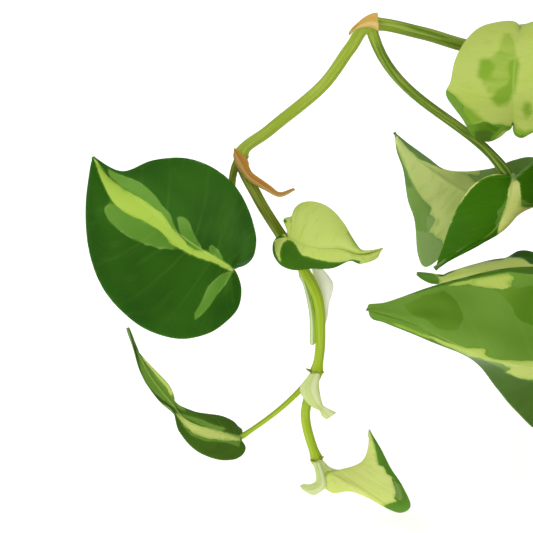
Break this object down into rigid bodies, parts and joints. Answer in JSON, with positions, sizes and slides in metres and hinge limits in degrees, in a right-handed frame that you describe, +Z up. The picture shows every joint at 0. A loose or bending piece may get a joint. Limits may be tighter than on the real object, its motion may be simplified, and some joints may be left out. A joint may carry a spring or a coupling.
{
  "type": "potted trailing philodendron",
  "caption": "Trailing philodendron with cream-and-green heart-shaped leaves on jointed vines, rooted in soil in a plain clay pot.",
  "frame": {"origin": "centre of the pot's flat underside", "axes": "+Z up out of the pot; -X towards the long vine of the picture, -Y towards the side it was pictured from"},
  "size_m": [0.5158, 0.3238, 0.2402],
  "materials": {
    "leaf": "satin",
    "stem": "satin",
    "husk": "matte",
    "sheath": "satin",
    "soil": "matte",
    "clay": "matte"
  },
  "bodies": {
    "root": {"leaf_01": "leaf", "leaf_02": "leaf", "leaf_03": "leaf", "leaf_04": "leaf", "leaf_05": "leaf", "leaf_06": "leaf", "leaf_07": "leaf", "leaf_08": "leaf", "leaf_09": "leaf", "leaf_10": "leaf", "leaf_11": "leaf", "leaf_12": "leaf", "leaf_13": "leaf", "leaf_14": "leaf", "leaf_15": "leaf", "leaf_16": "leaf", "leaf_17": "leaf", "leaf_18": "leaf", "leaf_19": "leaf", "leaf_20": "leaf", "leaf_21": "leaf", "leaf_22": "leaf", "leaf_23": "leaf", "leaf_24": "leaf", "leaf_25": "leaf", "leaf_26": "leaf", "leaf_27": "leaf", "leaf_28": "leaf", "leaf_29": "leaf", "leaf_30": "leaf", "leaf_31": "leaf", "leaf_32": "leaf", "leaf_33": "leaf", "leaf_34": "leaf", "leaf_35": "leaf", "leaf_36": "leaf", "leaf_37": "leaf", "leaf_38": "leaf", "leaf_39": "leaf", "pot": "clay", "sheath_a": "husk", "sheath_b": "husk", "sheath_c": "sheath", "sheath_d": "sheath", "sheath_e": "sheath", "sheath_f": "sheath", "soil": "soil", "stem_a": "stem", "stem_b": "stem", "stem_c": "stem", "stem_d": "stem", "stem_e": "stem", "stem_f": "stem", "stem_g": "stem", "stem_h": "stem", "stem_i": "stem"}
  },
  "joints": []
}
